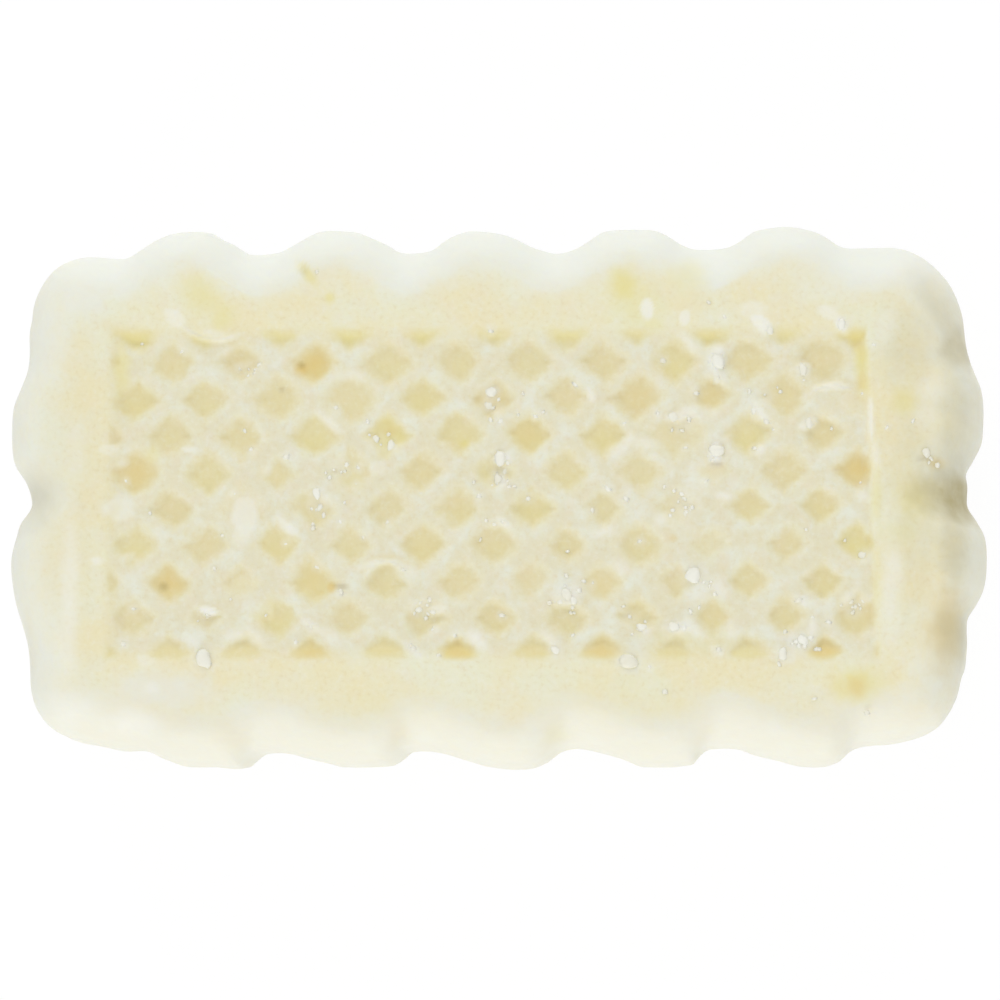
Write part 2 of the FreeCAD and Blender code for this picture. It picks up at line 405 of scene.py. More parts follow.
# soft pale flakes pressed into the face: x, y, half width, half height, turn, strength
flakes = [
    (-35.9, -6.3, 0.6, 0.4, 0, 0.6), (-33.8, 2.7, 0.6, 0.4, 40, 0.4), (-33.2, -5.9, 0.6, 0.4, 10, 0.4),
    (-30.8, -17.8, 0.7, 0.5, 10, 0.4), (-27.2, -13.6, 1.0, 0.5, -40, 0.4), (-26.3, -15.3, 0.6, 0.5, 0, 0.6),
    (-25.5, 14.3, 1.4, 0.5, -10, 0.4), (-23.3, -13.1, 1.3, 0.5, 10, 0.4), (-22.8, -4.1, 0.8, 0.8, 10, 0.4),
    (-21.7, -13.1, 1.4, 0.6, -30, 0.4), (-20.5, 1.9, 0.8, 0.4, 50, 0.4), (-18.6, -3.1, 1.2, 0.4, -40, 0.6),
    (-16.3, -12.2, 1.1, 0.4, -30, 0.5), (-14.7, 6.2, 1.3, 0.4, -40, 0.5), (-14.7, -13.1, 1.5, 0.5, -40, 0.4),
    (-13.1, 10.6, 1.3, 0.5, 0, 0.4), (-11.1, -6.6, 1.1, 0.4, 20, 0.5), (-7.9, -6.9, 1.3, 0.5, -30, 0.4),
    (-7.1, -14.3, 1.1, 0.4, -40, 0.6), (-1.3, -13.5, 1.3, 0.6, -40, 0.5), (-0.4, 7.8, 0.5, 0.4, 70, 0.6),
    (-0.1, 9.2, 0.6, 0.5, 40, 0.9), (0.9, 3.1, 0.8, 0.5, 10, 0.8), (0.7, 1.2, 1.0, 0.5, -56, 0.75),
    (1.0, -2.8, 0.8, 0.4, -30, 0.6), (5.3, -13.4, 1.3, 0.5, -40, 0.4), (9.0, 8.8, 0.7, 0.4, -70, 0.5),
    (10.3, -3.5, 1.0, 0.4, 20, 0.4), (11.7, -6.8, 1.0, 0.6, -40, 0.4), (11.9, 4.2, 1.3, 0.6, 40, 0.4),
    (12.1, -15.4, 0.7, 0.5, -10, 0.8), (12.2, -0.4, 0.9, 0.4, 70, 0.4), (13.7, 4.5, 1.3, 0.5, -10, 0.4),
    (15.3, -2.6, 0.7, 0.6, 70, 0.5), (16.8, -12.4, 1.1, 0.4, 0, 0.6), (17.6, 7.2, 1.1, 0.6, 20, 0.5),
    (17.9, 13.5, 1.4, 0.5, -50, 0.4), (18.3, -12.4, 1.2, 0.5, -40, 0.5), (19.6, 7.3, 1.0, 0.5, -20, 0.4),
    (20.2, 3.1, 0.8, 0.6, -80, 0.8), (20.3, 12.4, 0.9, 0.7, 60, 0.8), (20.4, 10.6, 0.8, 0.6, -50, 0.5),
    (20.5, -8.6, 1.1, 0.7, -60, 0.4), (21.1, -0.4, 1.0, 0.4, -10, 0.6), (21.8, -12.7, 0.8, 0.7, -60, 0.4),
    (24.2, 3.8, 0.6, 0.5, 20, 0.6), (24.3, 7.2, 1.3, 0.4, -50, 0.7), (24.5, 14.9, 0.9, 0.5, -30, 0.8),
    (28.0, -9.8, 0.8, 0.5, -10, 0.5), (29.0, -12.3, 0.9, 0.5, 70, 0.5), (30.5, 9.6, 1.4, 0.5, 5, 0.5),
    (31.5, 15.2, 0.9, 0.5, -60, 0.8), (32.2, -9.6, 1.1, 0.5, 50, 0.4), (33.4, -0.4, 0.7, 0.5, -10, 0.4),
    (34.7, 3.3, 1.2, 0.4, -80, 0.4), (18.1, -7.8, 0.7, 0.6, -52, 0.7), (-9.1, 4.1, 0.6, 0.4, -14, 0.6),
    (-26.0, -10.8, 0.9, 0.4, -12, 0.5), (26.1, -14.6, 0.6, 0.5, -19, 0.5), (13.8, -12.5, 0.6, 0.5, 0, 0.5),
]
# thin curled edges: centre x, y, radius, first and last angle, height
curls = [
    (-9.5, -8.6, 2.2, 30, 158, 0.22),
    (30.9, 5.5, 4.1, 58, 128, 0.3),
    (-25.2, 18.3, 4.4, 214, 306, 0.28),
]


def panelSides(x, y):
    # how far inside each edge of the panel a point lies
    slant = (y - panel["bottom"]) / (panel["top"] - panel["bottom"])
    right = panel["rightAtBottom"] + (panel["rightAtTop"] - panel["rightAtBottom"]) * slant
    fold = 0.6 * math.exp(-((x + 25.4) / 2.6) ** 2)
    wobble = 0.12 * ripple(x, y, 5, 3.0) + 0.06 * ripple(x, y, 9, 1.1)
    return (
        x - panel["left"] + wobble,
        right - x + wobble,
        panel["top"] - fold - y + wobble * 0.7,
        y - panel["bottom"] + wobble * 0.7,
    )


def ovalShare(x, y, spot, low, high):
    # 1 in the middle of a turned oval spot (x, y, half width, half height, turn) and 0 outside it
    offX = x - spot[0]
    offY = y - spot[1]
    if abs(offX) + abs(offY) > 3 * max(spot[2], spot[3]):
        return 0.0
    cosine = math.cos(math.radians(spot[4]))
    sine = math.sin(math.radians(spot[4]))
    across = math.hypot((offX * cosine + offY * sine) / spot[2], (offY * cosine - offX * sine) / spot[3])
    return ease(high, low, across + 0.22 * ripple(x, y, 2, 0.8))


def edgeFade(name, *distances):
    # 1 well inside the panel and 0 outside its edges
    return min(ease(low, high, inward) for inward, (low, high) in zip(distances, panel[name + "Fade"]))


def faceAt(x, y):
    # height of the upper face over its rim, and how it is coloured there
    found = dict.fromkeys(layerNames, 0.0)
    left, right, top, bottom = panelSides(x, y)
    inside, cut, tint = (edgeFade(name, left, right, top, bottom) for name in ("floor", "pit", "tint"))
    found["height"] = -panel["depth"] * inside
    if min(left, right, top, bottom) > -1:
        # a lip stands up along a part of the right edge, painted pale as a highlight where it catches the
        # light, and a soft yellow band of painted shade runs along the left edge by the panel's wall
        lip = math.exp(-((right + 0.1) / 0.22) ** 2) * ease(2.6, 1.0, abs(y - 6.6))
        found["height"] += 0.08 * lip
        found["chalk"] = 0.75 * lip
        found["pit"] = 0.35 * ease(1.3, 0.3, abs(left - 0.4)) * ease(-1, 1, top) * ease(-1, 1, bottom)
    if tint > 0.02:
        addPit(x, y, cut, tint, found)
        found["rib"] *= inside
    for smear in smears:
        share = ovalShare(x, y, smear, 0.7, 1.25)
        if share > 0:
            cover, chalk = smear[5:]
            level = -panel["depth"] * 0.6 * inside
            found["height"] += (level - found["height"]) * cover * share
            found["pit"] *= 1 - cover * share
            found["chalk"] = max(found["chalk"], chalk * share)
    for flake in flakes:
        share = ovalShare(x, y, flake, 0.25, 1.6)
        if share > 0:
            found["height"] += 0.1 * share
            found["chalk"] = max(found["chalk"], flake[5] * share)
    for centreX, centreY, radius, first, last, tall in curls:
        distance = math.hypot(x - centreX, y - centreY) - radius
        if abs(distance) > 1:
            continue
        angle = math.degrees(math.atan2(y - centreY, x - centreX)) % 360
        ends = ease(first, first + 20, angle) * ease(last, last - 20, angle)
        share = math.exp(-((distance / 0.24) ** 2)) * ends
        found["height"] += tall * share
        # the crest is painted pale, partly the pale fold and partly a painted highlight where it catches the
        # light
        found["chalk"] = max(found["chalk"], 0.4 * share)
        # a painted shadow line in the pit colour just outside the curl, under the lifted edge
        found["pit"] = max(found["pit"], 0.6 * ends * math.exp(-(((distance - 0.55) / 0.3) ** 2)))
    found["height"] += 0.05 * ripple(x, y, 1, 4.0) + 0.03 * ripple(x, y, 3, 1.1)
    return found


def addPit(x, y, cut, tint, found):
    # cut limits the depth near the panel's edges, and tint the colour: the pits' painted shade and their
    # stains
    wanderX = x + pits["wander"] * ripple(x, y, 21, 2.2) + pits["jitter"] * ripple(x, y, 24, 0.8)
    wanderY = y + pits["wander"] * ripple(x, y, 31, 2.2) + pits["jitter"] * ripple(x, y, 34, 0.8)
    row = math.floor((wanderY - pits["middleY"]) / pits["pitchY"] - 0.5)
    column = math.floor((wanderX - pits["middleX"]) / pits["pitchX"])
    nearest = 2.0
    for key in ((row, column), (row, column + 1), (row + 1, column), (row + 1, column + 1)):
        pit = lattice.get(key)
        if not pit:
            continue
        acrossX = abs(wanderX - pit["x"] + pit["lean"] * (wanderY - pit["y"])) / pits["stretch"]
        acrossY = abs(wanderY - pit["y"])
        power = pit["corner"]
        reach = (acrossX ** power + acrossY ** power) ** (1 / power) / pit["half"]
        reach += pits["ragged"] * ripple(x, y, 27, 0.9)
        nearest = min(nearest, reach)
        mask = ease(*pits["softEdge"], reach)
        if mask <= 0:
            continue
        floor = 1 + 0.12 * ripple(x, y, 7, 1.3)
        found["height"] -= pit["depth"] * mask * floor * cut
        # the pit colour is painted shade in the pits: the deeper the pit, the fuller its tint
        deep = min(1.0, pit["depth"] / pits["depth"])
        mask *= tint * deep
        found["pit"] = max(found["pit"], mask)
        found["warm"] = max(found["warm"], pit["warm"] * ease(1.2, 0.1, reach) * tint)
        lower = 0.6 + 0.4 * ease(0.6, -0.8, wanderY - pit["y"])   # the near half of a pit is yellower
        found["yellow"] = max(found["yellow"], (pit["yellow"] + 0.08) * mask * lower)
    found["rib"] = 0.6 + 0.4 * ease(1.0, 1.5, nearest)


# soft stains on the upper face, among them painted shade, shadow and highlight where marked: x, y, half
# width, half height, turn, layer, strength
stains = [
    (32.9, -17.6, 1.0, 1.0, 0, "warm", 0.45),
    (33.0, -17.4, 2.4, 1.7, 0, "yellow", 0.6),
    (11.9, 18.8, 1.4, 1.8, 20, "yellow", 0.7),
    (13.2, 17.2, 2.8, 2.4, 10, "yellow", 0.35),
    (14.5, 15.2, 1.3, 0.9, 0, "yellow", 0.35),
    (-26.6, 17.9, 2.3, 1.6, -35, "yellow", 0.45),
    (-24.7, 15.9, 1.2, 1.6, -35, "yellow", 0.45),
    (-17.0, 20.0, 0.5, 1.5, 38, "yellow", 0.6),
    (-17.3, 20.2, 0.4, 0.5, 0, "dark", 0.15),
    (-14.9, 17.7, 0.5, 0.45, 0, "yellow", 0.6),
    (-34.6, 15.0, 1.6, 0.8, -20, "warm", 0.15),
    (-17.5, 11.6, 0.4, 0.35, 0, "dark", 0.3),
    (-17.4, 11.3, 0.8, 0.8, 0, "warm", 0.9),
    (-19.3, 9.4, 0.35, 0.3, 0, "dark", 0.22),
    (-22.8, -2.3, 1.3, 2.2, 6, "edge", 0.8),
    (-34.1, -1.6, 1.6, 1.3, 0, "edge", 0.7),
    (-9.4, 5.5, 0.7, 0.6, 0, "warm", 0.3),
    (-29.9, -8.6, 0.45, 0.4, 0, "dark", 0.35),
    (-13.7, -8.6, 0.6, 0.28, -5, "dark", 0.35),
    (-14.6, -8.7, 0.5, 0.5, 0, "warm", 0.7),
    (-2.6, 4.4, 0.6, 0.5, 0, "yellow", 0.7),
    (0.1, 2.0, 0.7, 0.4, 0, "dark", 0.12),
    # painted shadows under the crumbs at 20.3, 3.7 and 0.6, 1.0
    (20.3, 2.5, 0.6, 0.25, 0, "dark", 0.35),
    (0.5, 1.0, 0.5, 0.2, -15, "dark", 0.3),
    (40.1, 2.6, 1.1, 0.55, 0, "warm", 0.45),
    # painted shadow under the crumb at 39.2, 3.5
    (38.8, 3.0, 0.5, 0.2, 10, "dark", 0.3),
    # the next three paint yellow-brown shade on the right end's rim
    (37.3, 8.1, 1.3, 1.3, 0, "yellow", 0.5),
    (38.2, -0.6, 2.2, 2.2, 20, "yellow", 0.4),
    (36.6, -4.0, 1.8, 2.0, 0, "yellow", 0.25),
    # the next seven paint soft tan shade along the panel's right wall
    (33.1, 13.6, 0.7, 1.2, 10, "warm", 0.22),
    (33.3, 12.0, 0.7, 2.4, 0, "yellow", 0.7),
    (33.4, 9.9, 0.5, 0.9, 0, "warm", 0.3),
    (33.5, 9.6, 0.6, 1.2, 0, "yellow", 0.6),
    (34.7, -0.2, 0.6, 2.4, 0, "yellow", 0.35),
    (34.8, -8.0, 0.6, 3.4, 0, "yellow", 0.22),
    (34.2, -11.0, 0.7, 1.2, 0, "warm", 0.2),
    # painted shade along the panel's left wall
    (-33.9, 11.2, 0.8, 3.0, 0, "yellow", 0.5),
    (-31.0, 3.4, 0.9, 0.9, 0, "yellow", 0.35),
    (-34.2, 5.2, 0.8, 0.9, 0, "warm", 0.12),
    (35.9, -8.6, 0.9, 5.4, 0, "chalk", 0.4),
    (36.2, -7.0, 1.0, 2.6, 0, "chalk", 0.5),
    (35.6, 15.0, 1.0, 2.0, -20, "chalk", 0.3),
    (39.0, 7.0, 1.6, 1.3, 0, "chalk", 0.25),
    (39.7, 9.2, 1.8, 1.3, 20, "chalk", 0.3),
    (36.0, -1.6, 0.9, 2.0, 0, "chalk", 0.2),
    (-30.1, -18.2, 6.0, 2.2, 0, "edge", 0.85),
    (-37.9, 18.2, 3.4, 3.0, 0, "edge", 0.8),
    (-24.0, 19.0, 5.0, 2.0, 0, "edge", 0.35),
    (-10.0, -19.5, 6.0, 2.0, 0, "yellow", 0.1),
    (12.0, -18.5, 7.0, 2.4, 0, "yellow", 0.12),
    # the next two paint a highlight along the left shoulder, where the flat rim breaks into the rounding
    (-38.4, -9.0, 0.9, 7.0, 0, "chalk", 0.5),
    (-38.6, -14.5, 1.0, 2.5, 10, "chalk", 0.35),
    (-38.0, 4.0, 0.8, 3.0, 0, "chalk", 0.2),
    (-32.2, -21.0, 2.6, 1.2, 0, "chalk", 0.45),
    (-38.6, -19.6, 2.2, 1.6, 0, "chalk", 0.35),
    (38.0, 21.4, 2.6, 1.3, -20, "edge", 1.0),
    (38.0, 19.6, 2.6, 1.6, -20, "edge", 0.85),
    (37.6, 20.4, 2.4, 1.6, -20, "chalk", 0.2),
    # the next four paint shade on the right flanks of the near lobes
    (-23.6, -22.2, 1.6, 1.6, 0, "warm", 0.1),
    (-8.4, -22.2, 1.2, 1.8, 15, "warm", 0.1),
    (5.9, -22.2, 1.2, 1.4, 20, "yellow", 0.22),
    (19.4, -22.4, 1.1, 1.8, 0, "warm", 0.08),
    # painted shade in the right end's lower hollow, brownish and partly dirt
    (41.0, -12.2, 1.9, 3.8, 0, "warm", 0.48),
    (38.3, -19.8, 2.6, 2.0, 0, "warm", 0.1),
    (36.0, -19.5, 2.2, 1.4, 0, "warm", 0.06),
    (16.3, -4.2, 0.6, 0.4, 0, "warm", 0.4),
    (18.6, -13.5, 5.0, 1.2, 0, "yellow", 0.25),
    (17.6, 19.5, 2.0, 1.8, 0, "yellow", 0.35),
]


def stainAt(x, y, found, strength=1.0):
    for stain in stains:
        share = ovalShare(x, y, stain, 0.15, 1.5)
        if share > 0:
            found[stain[5]] = max(found[stain[5]], stain[6] * share * strength)


# painted shade, grey-brown, on the shoulders as seen from above: in the hollows, along both ends and on the
# right flanks of the near lobes; in the right end's hollows it is partly dirt: x, y, half width, half
# height, turn, strength
shades = [
    (42.0, -0.5, 2.6, 2.8, 0, 0.88),
    (40.4, 0.0, 3.8, 3.2, 0, 0.52),
    (42.0, -12.6, 2.4, 4.2, 0, 0.3),
    (42.0, 13.2, 1.9, 2.6, 0, 0.48),
    (40.2, 16.6, 4.8, 1.6, -59, 0.22),
    (37.8, 13.0, 3.4, 5.0, 0, 0.2),
    (41.6, 5.6, 2.2, 7.0, 0, 0.3),
    (41.6, -5.2, 1.8, 4.6, 0, 0.4),
    (38.6, 0.0, 3.6, 12.0, 0, 0.17),
    (-38.0, 0.0, 3.6, 18.0, 0, 0.05),
    (-8.6, -22.4, 1.0, 2.2, 0, 0.06),
    (5.6, -22.2, 1.2, 2.2, -15, 0.06),
    (31.6, -22.2, 1.3, 2.4, 0, 0.06),
    (-41.8, -0.5, 3.0, 3.6, 0, 0.25),
    (-41.0, 0.0, 4.4, 18.0, 0, 0.05),
    (-42.6, -13.6, 0.9, 4.6, 0, 0.08),
]
# how strongly the pale outer skin shows on each side, and how cool it is; the pale skin is partly the soap's
# own and partly painted light on the rounded edges, and its lower strength on the ends paints them darker
# than the long sides
paleSkinAndLight = {"right": (0.6, 0.75), "top": (1.0, 1.0), "left": (0.72, 0.95), "bottom": (1.0, 0.0)}


def paleSkinAndLightAt(x, y):
    # the pale skin and painted edge light of the nearest side, turning into its neighbour's round the
    # corners
    endward = ease(-6, 3, (abs(x) - bar["halfLength"]) - (abs(y) - bar["halfWidth"]))
    ends = paleSkinAndLight["right"] if x > 0 else paleSkinAndLight["left"]
    longs = paleSkinAndLight["top"] if y > 0 else paleSkinAndLight["bottom"]
    return [one + (other - one) * endward for one, other in zip(longs, ends)]


def shadeAt(x, y):
    shade = 0.0
    for spot in shades:
        shade = max(shade, spot[5] * ovalShare(x, y, spot, 0.1, 1.4))
    return shade


layerNames = ["height", "pit", "rib", "warm", "yellow", "chalk", "dark", "shadeAndDirt", "edge", "cool"]


def paint(vert, layers, found):
    for name in layerNames[1:]:
        vert[layers[name]] = found[name]


def boundaryLoop(bm):
    # the open edge's vertices in order, anticlockwise from the corner at bottom right
    edges = [edge for edge in bm.edges if edge.is_boundary]
    nextTo = {}
    for edge in edges:
        for vert in edge.verts:
            nextTo.setdefault(vert, []).append(edge.other_vert(vert))
    start = max(nextTo, key=lambda vert: vert.co.x - vert.co.y)
    loop = [start, max(nextTo[start], key=lambda vert: vert.co.y)]
    while len(loop) < len(nextTo):
        one, other = nextTo[loop[-1]]
        loop.append(other if one is loop[-2] else one)
    return loop


def profileSteps():
    # the rings outside the fine zone: kind and share of that stretch
    steps = []
    for kind in ("rim", "shoulder", "wall", "under"):
        count = bar[kind + "Rings"]
        steps += [(kind, (i + 1) / count) for i in range(count)]
    return steps


def ringPoint(kind, share, inner, point, outward, side, place):
    # where a ring crosses the section through one vertex of the fine zone's edge
    height = bar["height"]
    drop = bar["shoulderHeight"]
    lean = math.tan(math.radians(bar["draftDegrees"])) * (height / 2 - drop)
    soft = {"rim": 1.0, "shoulder": 1 - share, "wall": 0.0, "under": share}[kind]
    lobe = lobeHeight(side, place, bar["softening"] * soft)
    full = max(0.0, min(1.0, lobe / 1.9))
    width = bar["shoulderAtHollow"] + (bar["shoulderAtLobe"] - bar["shoulderAtHollow"]) * full
    outer = point + outward * lobe
    if kind == "rim":
        flat = outer - outward * (lean + width)
        spot = inner.lerp(flat, share)
        return Vector((spot.x, spot.y, height))
    if kind == "shoulder":
        angle = (1 - share) * math.pi / 2
        spot = outer - outward * (lean + width * (1 - math.cos(angle)))
        return Vector((spot.x, spot.y, height - drop + drop * math.sin(angle)))
    if kind == "wall":
        z = height - drop + (2 * drop - height) * share
        spot = outer - outward * lean * abs(z - height / 2) / (height / 2 - drop)
        return Vector((spot.x, spot.y, z))
    angle = share * math.pi / 2
    spot = outer - outward * (lean + width * (1 - math.cos(angle)))
    return Vector((spot.x, spot.y, drop - drop * math.sin(angle)))


def ringColours(kind, share, spot, side, place):
    found = faceAt(spot.x, spot.y) if kind == "rim" else dict.fromkeys(layerNames, 0.0)
    # depth runs from -1 at the fine zone over 0 at the shoulder's start to 1 at its foot
    depth = {"rim": share - 1, "shoulder": share, "wall": 1 + share, "under": 2.0}[kind]
    pale, cool = paleSkinAndLightAt(spot.x, spot.y)
    # painted shade (partly dirt in the right end's hollows), fading out down the wall
    found["shadeAndDirt"] = shadeAt(spot.x, spot.y) * ease(1.7, 0.6, depth)
    # the pale rounded edge: partly the soap's own skin, partly painted light
    found["edge"] = pale * (0.45 * ease(-1.0, 0.1, depth) + 0.55 * ease(-0.3, 0.45, depth))
    found["cool"] = cool
    if depth < 1:
        stainAt(spot.x, spot.y, found, ease(0.95, 0.5, depth))
    return found


def wear(place, depthShare):
    # slow dents and fine unevenness of a used surface, away from the flat resting face
    slow = 0.14 * ripple(place.x, place.y, place.z, 6.5)
    fine = 0.05 * ripple(place.x, place.y, place.z + 50, 1.9)
    return (slow + fine) * depthShare


def buildBar():
    bm = bmesh.new()
    columns = round(2 * panel["halfGridX"] / panel["cell"])
    rows = round(2 * panel["halfGridY"] / panel["cell"])
    bmesh.ops.create_grid(bm, x_segments=columns, y_segments=rows, size=1.0)
    bmesh.ops.scale(bm, vec=(panel["halfGridX"], panel["halfGridY"], 1.0), verts=bm.verts)
    bmesh.ops.translate(bm, vec=(0, 0, bar["height"]), verts=bm.verts)
    layers = {name: bm.verts.layers.float.new(name) for name in layerNames[1:]}

    loop = boundaryLoop(bm)
    for vert in bm.verts:
        found = faceAt(vert.co.x, vert.co.y)
        stainAt(vert.co.x, vert.co.y, found)
        found["cool"] = 0.5 + 0.5 * ease(-14, 14, vert.co.y)
        # painted shade (partly dirt) where the shade ovals reach the face
        found["shadeAndDirt"] = shadeAt(vert.co.x, vert.co.y)
        vert.co.z += found["height"]
        paint(vert, layers, found)
    seatCrumbs(bm, layers)
    print("fine zone", len(bm.verts), "vertices")

    sections = []
    sideCounts = [rows, columns, rows, columns]
    for sideIndex, count in enumerate(sideCounts):
        for i in range(count):
            point, outward, place = outlineAt(sideIndex, i / count)
            sections.append((point, outward, sides[sideIndex], place))
    inner = [vert.co.to_2d() for vert in loop]
    ring = loop
    for kind, share in profileSteps():
        edges = []
        for i, vert in enumerate(ring):
            edges.append(bm.edges.get((vert, ring[(i + 1) % len(ring)])))
        made = bmesh.ops.extrude_edge_only(bm, edges=edges)
        fresh = {}
        for vert in made["geom"]:
            if isinstance(vert, bmesh.types.BMVert):
                fresh[vert.co.to_tuple(6)] = vert
        ring = [fresh[vert.co.to_tuple(6)] for vert in ring]
        for vert, start, (point, outward, side, place) in zip(ring, inner, sections):
            spot = ringPoint(kind, share, start, point, outward, side, place)
            found = ringColours(kind, share, spot, side, place)
            push = wear(spot, ease(0.0, 6.0, spot.z))
            if kind == "rim":
                spot.z += found["height"] + push * 0.5 * share
            else:
                level = share if kind == "shoulder" else 1.0
                spot += Vector((outward.x, outward.y, 1 - level)).normalized() * push * level
                if kind == "shoulder":
                    spot.z += faceAt(spot.x, spot.y)["height"] * (1 - share)
            vert.co = spot
            paint(vert, layers, found)
    bmesh.ops.contextual_create(bm, geom=ring)
    bmesh.ops.recalc_face_normals(bm, faces=bm.faces)
    bmesh.ops.scale(bm, vec=(mm, mm, mm), verts=bm.verts)
    for face in bm.faces:
        face.smooth = True
    return bm


# crumbs and small lumps that cling to the upper face
crumbs = {
    "seed": 8,
    "sunk": 0.15,       # how deep a crumb sits, as a share of its size
    "flat": 0.36,       # height over width
    "scale": 1.0,
    "mound": 0.07,      # how far the soap rises to meet a crumb
    "bloom": 0.28,      # how pale the soap is round it
    "stretch": (0.8, 1.35),
    "lumps": 0.45,
    "pale": (0.45, 0.85),
    "crowding": 0.7,    # how full the clusters are
    "clusterSize": (0.65, 1.1),
    "scattered": 26,
    "scatteredSize": (0.3, 0.45),
}
# crumbs one by one: x, y, size
crumbSpots = [
    (-23.2, 11.4, 0.6), (-21.3, 11.6, 0.65), (-28.4, 12.9, 0.5), (-14.3, 7.6, 0.6), (-10.7, 4.8, 0.8),
    (-9.2, 4.2, 0.95), (-22.0, 3.8, 0.6), (-33.5, 1.0, 0.5), (-18.8, 3.2, 0.65), (-13.3, 2.5, 0.6),
    (-12.2, 2.2, 0.55), (-20.9, 4.9, 0.4), (-12.4, 0.7, 0.5),
    (-16.0, -0.1, 0.95), (-15.7, -1.4, 0.7), (-18.8, -4.7, 0.5), (-23.5, -0.2, 0.5), (-15.9, -6.8, 0.55),
    (-26.1, -15.2, 1.55), (-17.8, -13.7, 0.5), (-16.4, -12.2, 0.6),
    (-7.1, -14.3, 0.7), (-6.7, -10.6, 0.8), (-5.9, -10.2, 0.7), (-5.3, -10.9, 0.6), (-7.2, -10.2, 0.5),
    (-9.5, -2.8, 0.45), (-33.5, -13.9, 0.6), (-32.7, -10.6, 0.55), (-12.5, 0.5, 0.45),
    (-13.7, -9.1, 0.6), (-5.3, -12.6, 0.55), (-13.8, -2.7, 0.5), (-11.7, -4.0, 0.5),
    (-0.2, 9.2, 1.05), (-0.4, 7.9, 0.8), (0.7, 6.4, 0.6), (0.7, 3.0, 1.2), (0.6, 1.0, 1.15),
    (1.0, 1.9, 0.9), (1.4, 2.8, 0.7), (-0.3, 8.5, 0.7), (0.2, -2.9, 0.6), (24.8, 6.4, 0.7),
    (-7.4, -14.0, 0.6),
    (15.4, 12.0, 0.7), (20.4, 11.9, 1.3), (18.4, 9.0, 0.7), (23.7, 7.4, 0.7), (16.4, 6.8, 0.9),
    (20.3, 3.7, 1.3), (17.5, 4.0, 0.5), (10.5, 0.3, 0.7), (19.3, 0.9, 0.5), (-0.2, 14.7, 0.6),
    (7.5, 9.8, 0.55), (3.9, 6.9, 0.5), (15.0, 7.1, 0.5), (12.0, 6.2, 0.45),
    (3.2, -0.5, 0.65), (0.6, 0.6, 0.6), (12.1, -0.6, 0.7), (9.0, -1.7, 0.6),
    (1.0, -2.7, 0.5), (13.4, -4.4, 0.55), (17.2, -0.1, 0.6), (17.6, -1.9, 0.55), (16.1, -2.2, 0.55),
    (18.2, -7.6, 1.4), (6.8, -9.3, 1.0), (7.4, -9.8, 0.8), (6.2, -9.9, 0.7), (7.9, -9.0, 0.7),
    (13.7, -12.3, 0.95), (12.4, -11.3, 0.6), (0.9, -11.2, 0.6), (12.4, -15.4, 1.5),
    (16.5, -12.2, 0.9), (17.4, -12.3, 0.6), (-5.2, -12.4, 0.5), (5.8, -14.4, 0.8), (20.5, -14.4, 0.7),
    (-1.2, -0.4, 0.5), (-4.8, -14.9, 0.55), (-3.4, -13.0, 0.55), (9.1, -8.3, 0.45),
    (33.5, -5.8, 0.9), (27.7, -9.8, 0.7), (28.1, -13.4, 0.9), (28.8, -13.1, 0.7), (26.3, -14.7, 1.0),
    (30.4, -11.8, 0.55), (29.0, -11.4, 0.5), (32.4, -9.9, 0.6), (33.5, -9.8, 0.5),
    (25.5, 5.7, 0.5), (23.8, 3.9, 0.6), (28.7, 6.2, 0.9), (28.1, 11.1, 0.9), (25.1, 14.7, 0.8),
    (31.6, 15.2, 0.9), (33.5, 8.9, 0.45), (34.5, 13.3, 0.5), (39.2, 3.5, 0.8), (40.2, 2.4, 0.55),
    (38.0, 6.4, 0.45), (35.7, 5.8, 0.45), (14.3, -15.9, 0.45), (-16.1, 20.1, 0.4),
    (15.7, -18.1, 0.6), (29.1, -18.7, 0.45), (33.8, -20.0, 0.6), (21.0, 15.9, 0.5), (19.6, 17.2, 0.45),
]
# clusters of small crumbs: x, y, half spread, count, largest size
crumbClusters = [
    (-6.2, -10.5, 1.0, 9, 0.55), (-10.6, 4.6, 1.2, 7, 0.5), (-15.8, -1.0, 1.4, 10, 0.5),
    (0.3, 7.6, 0.9, 6, 0.5), (0.8, 1.6, 1.0, 8, 0.5), (7.0, -9.3, 1.3, 14, 0.55), (17.4, 6.4, 1.3, 8, 0.5),
    (17.6, -1.2, 1.6, 12, 0.5), (27.6, -14.0, 1.4, 12, 0.55), (12.9, -11.8, 1.1, 7, 0.5),
    (19.0, -9.0, 1.4, 8, 0.45), (-13.8, 2.3, 1.2, 7, 0.45), (19.9, 10.9, 0.9, 6, 0.45),
    (-22.3, 11.2, 1.0, 5, 0.4), (24.6, 8.6, 1.2, 6, 0.4), (20.3, 3.0, 0.8, 6, 0.45),
    (32.6, -10.6, 1.0, 7, 0.45), (-26.1, -11.0, 0.8, 5, 0.4), (39.6, 2.9, 1.0, 6, 0.4),
]


def seatCrumbs(bm, layers):
    # the soap rises a little and turns paler round each crumb
    tree = kdtree.KDTree(len(bm.verts))
    bm.verts.ensure_lookup_table()
    for i, vert in enumerate(bm.verts):
        tree.insert((vert.co.x, vert.co.y, 0), i)
    tree.balance()
    spots = [(x, y, size * 1.4, 1.0) for x, y, size in crumbSpots]
    spots += [(x, y, spread * 1.3, 0.0) for x, y, spread, count, largest in crumbClusters]
    for x, y, reach, rise in spots:
        for place, index, distance in tree.find_range((x, y, 0), reach):
            vert = bm.verts[index]
            share = ease(reach, reach * 0.2, distance) * (1 + 0.5 * ripple(place[0], place[1], 41, 0.6))
            vert.co.z += crumbs["mound"] * share * rise
            vert[layers["chalk"]] = max(vert[layers["chalk"]], crumbs["bloom"] * share)


